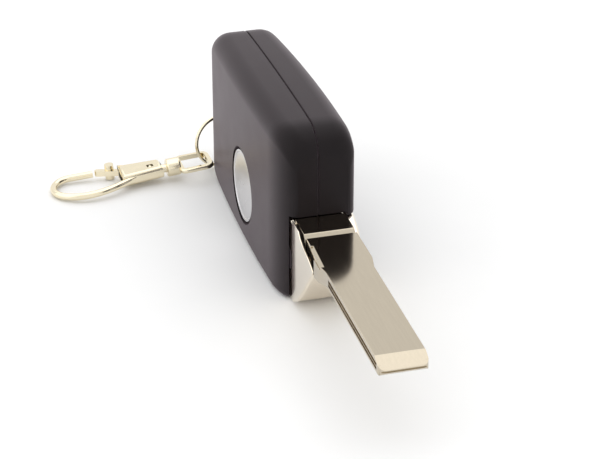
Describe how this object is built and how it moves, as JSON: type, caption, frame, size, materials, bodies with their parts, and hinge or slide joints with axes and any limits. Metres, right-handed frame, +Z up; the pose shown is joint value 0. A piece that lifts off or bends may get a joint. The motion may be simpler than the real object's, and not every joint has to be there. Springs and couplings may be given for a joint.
{
  "type": "key fob",
  "caption": "Folding car key fob: moulded casing with push buttons, a flip-out key blade on a round hub with a release button, and a ring with a swivel snap hook.",
  "frame": {"origin": "on the surface that the fob stands on, straight below the axis that the blade folds about, midway between the two halves of the casing's parting plane", "axes": "+Z up the fob's width, +Y along the casing from the blade's end to the key ring's end, so the opened blade points along -Y, +X out of the face with the buttons"},
  "size_m": [0.0509, 0.123, 0.0363],
  "materials": {
    "casing_plastic": "fine satin",
    "button_rubber": "matt",
    "hub_chrome": "polished",
    "blade_steel": "brushed",
    "emblem_silver": "satin",
    "spring_steel": "plain",
    "board_green": "lacquered",
    "component_black": "moulded",
    "cell_steel": "bright",
    "contact_brass": "plated",
    "ring_steel": "polished",
    "hook_nickel": "polished"
  },
  "bodies": {
    "casing": {"rear_shell": "casing_plastic", "front_shell": "casing_plastic", "emblem_disc": "emblem_silver", "circuit_board": "board_green", "tact_switches": "component_black", "controller_chip": "component_black", "antenna_coil": "component_black", "coin_cell": "cell_steel", "spring_contact": "contact_brass", "clip_contact": "contact_brass", "transponder_chip": "component_black", "ring_bail": "ring_steel"},
    "blade": {"blade_hub": "hub_chrome", "blade": "blade_steel", "blade_pin": "spring_steel", "flip_spring": "spring_steel"},
    "release": {"release_button": "hub_chrome"},
    "lock_button": {"lock_button": "button_rubber"},
    "unlock_button": {"unlock_button": "button_rubber"},
    "trunk_button": {"trunk_button": "button_rubber"},
    "ring": {"key_ring": "ring_steel"},
    "eye": {"swivel_eye": "hook_nickel"},
    "hook": {"hook_body": "hook_nickel", "gate_pin": "hook_nickel", "gate_spring": "spring_steel"},
    "gate": {"hook_gate": "hook_nickel"}
  },
  "joints": [
    {"name": "blade_flip", "type": "hinge", "parent": "casing", "child": "blade", "pos_m": [0, 0, 0.0094], "axis": [1, 0, 0], "range_deg": [0, 180], "stiffness_Nm_per_rad": 0.02, "springref_deg": -68.75},
    {"name": "release_press", "type": "slide", "parent": "blade", "child": "release", "axis": [-1, 0, 0], "range_m": [0, 0.002], "stiffness_N_per_m": 900, "springref_m": -0.001},
    {"name": "lock_button_press", "type": "slide", "parent": "casing", "child": "lock_button", "axis": [-1, 0, 0], "range_m": [0, 0.0004], "stiffness_N_per_m": 900, "springref_m": -0.0006},
    {"name": "unlock_button_press", "type": "slide", "parent": "casing", "child": "unlock_button", "axis": [-1, 0, 0], "range_m": [0, 0.0004], "stiffness_N_per_m": 900, "springref_m": -0.0006},
    {"name": "trunk_button_press", "type": "slide", "parent": "casing", "child": "trunk_button", "axis": [-1, 0, 0], "range_m": [0, 0.0004], "stiffness_N_per_m": 900, "springref_m": -0.0006},
    {"name": "ring_swing", "type": "hinge", "parent": "casing", "child": "ring", "pos_m": [-0.0011, 0.06075, 0.0056], "axis": [0, 0.9272, 0.3746], "range_deg": [-70, 5]},
    {"name": "eye_swing", "type": "hinge", "parent": "ring", "child": "eye", "pos_m": [-0.00809, 0.05875, 0.00362], "axis": [0.0227, -0.9997, 0], "range_deg": [-50, 50]},
    {"name": "hook_swivel", "type": "hinge", "parent": "eye", "child": "hook", "pos_m": [-0.0175, 0.05614, 0.00286], "axis": [-0.9965, -0.0226, -0.0806], "continuous": true},
    {"name": "gate_open", "type": "hinge", "parent": "hook", "child": "gate", "pos_m": [-0.024, 0.05719, 0.00233], "axis": [-0.0806, -0.0018, 0.9967], "range_deg": [0, 22], "stiffness_Nm_per_rad": 0.01, "springref_deg": -20.05}
  ]
}
